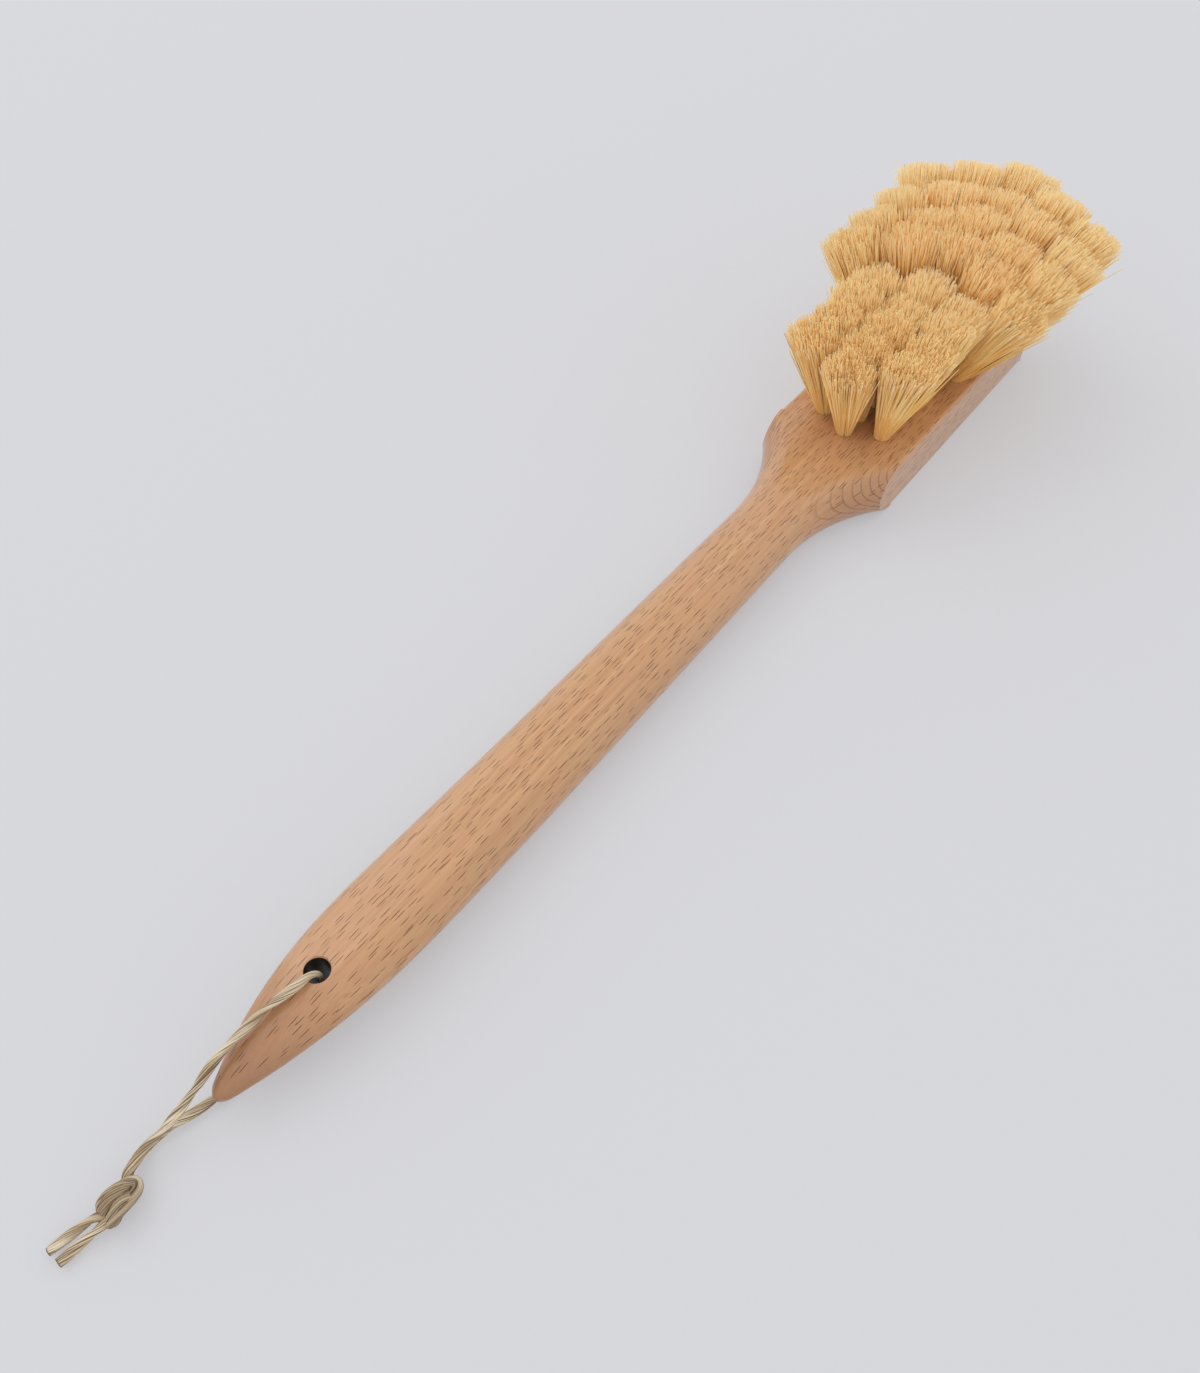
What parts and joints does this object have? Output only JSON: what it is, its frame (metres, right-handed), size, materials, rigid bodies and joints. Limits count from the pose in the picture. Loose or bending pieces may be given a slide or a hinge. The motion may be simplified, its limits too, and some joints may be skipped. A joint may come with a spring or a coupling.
{
  "type": "long-handled scrub brush",
  "caption": "Long-handled scrub brush: solid beech handle flaring into a flat head, plant-fibre tufts stapled into drilled holes, and a knotted twine loop for hanging.",
  "frame": {"origin": "centre of the head's flat back, on which the brush lies", "axes": "+X from the handle's tip to the head's far end, +Z from the flat back up through the bristles"},
  "size_m": [0.5069, 0.0925, 0.0639],
  "materials": {
    "beech": "fine sanded, unvarnished",
    "plant_fibre": "natural, matt, cut ends",
    "staple_wire": "bright drawn wire",
    "twine": "natural, matt, twisted"
  },
  "bodies": {
    "brush": {"beech_handle": "beech", "bristles_near": "plant_fibre", "bristles_far": "plant_fibre", "staple_near_01": "staple_wire", "staple_near_02": "staple_wire", "staple_near_03": "staple_wire", "staple_near_04": "staple_wire", "staple_near_05": "staple_wire", "staple_near_06": "staple_wire", "staple_near_07": "staple_wire", "staple_near_08": "staple_wire", "staple_near_09": "staple_wire", "staple_near_10": "staple_wire", "staple_near_11": "staple_wire", "staple_near_12": "staple_wire", "staple_near_13": "staple_wire", "staple_far_14": "staple_wire", "staple_far_15": "staple_wire", "staple_far_16": "staple_wire", "staple_far_17": "staple_wire", "staple_far_18": "staple_wire", "staple_far_19": "staple_wire", "staple_far_20": "staple_wire", "staple_far_21": "staple_wire", "staple_far_22": "staple_wire", "staple_far_23": "staple_wire", "staple_far_24": "staple_wire", "staple_far_25": "staple_wire", "staple_far_26": "staple_wire", "staple_far_27": "staple_wire", "staple_far_28": "staple_wire", "staple_far_29": "staple_wire", "staple_far_30": "staple_wire", "staple_far_31": "staple_wire", "staple_far_32": "staple_wire", "staple_far_33": "staple_wire"},
    "hanging_loop": {"cord_top_run": "twine", "cord_under_run": "twine", "cord_knot": "twine", "cord_tail_left": "twine", "cord_tail_right": "twine"}
  },
  "joints": [
    {"name": "loop_swing", "type": "hinge", "parent": "brush", "child": "hanging_loop", "pos_m": [-0.3253, 0, 0.01275], "axis": [0, 0, 1], "range_deg": [-60, 60]}
  ]
}
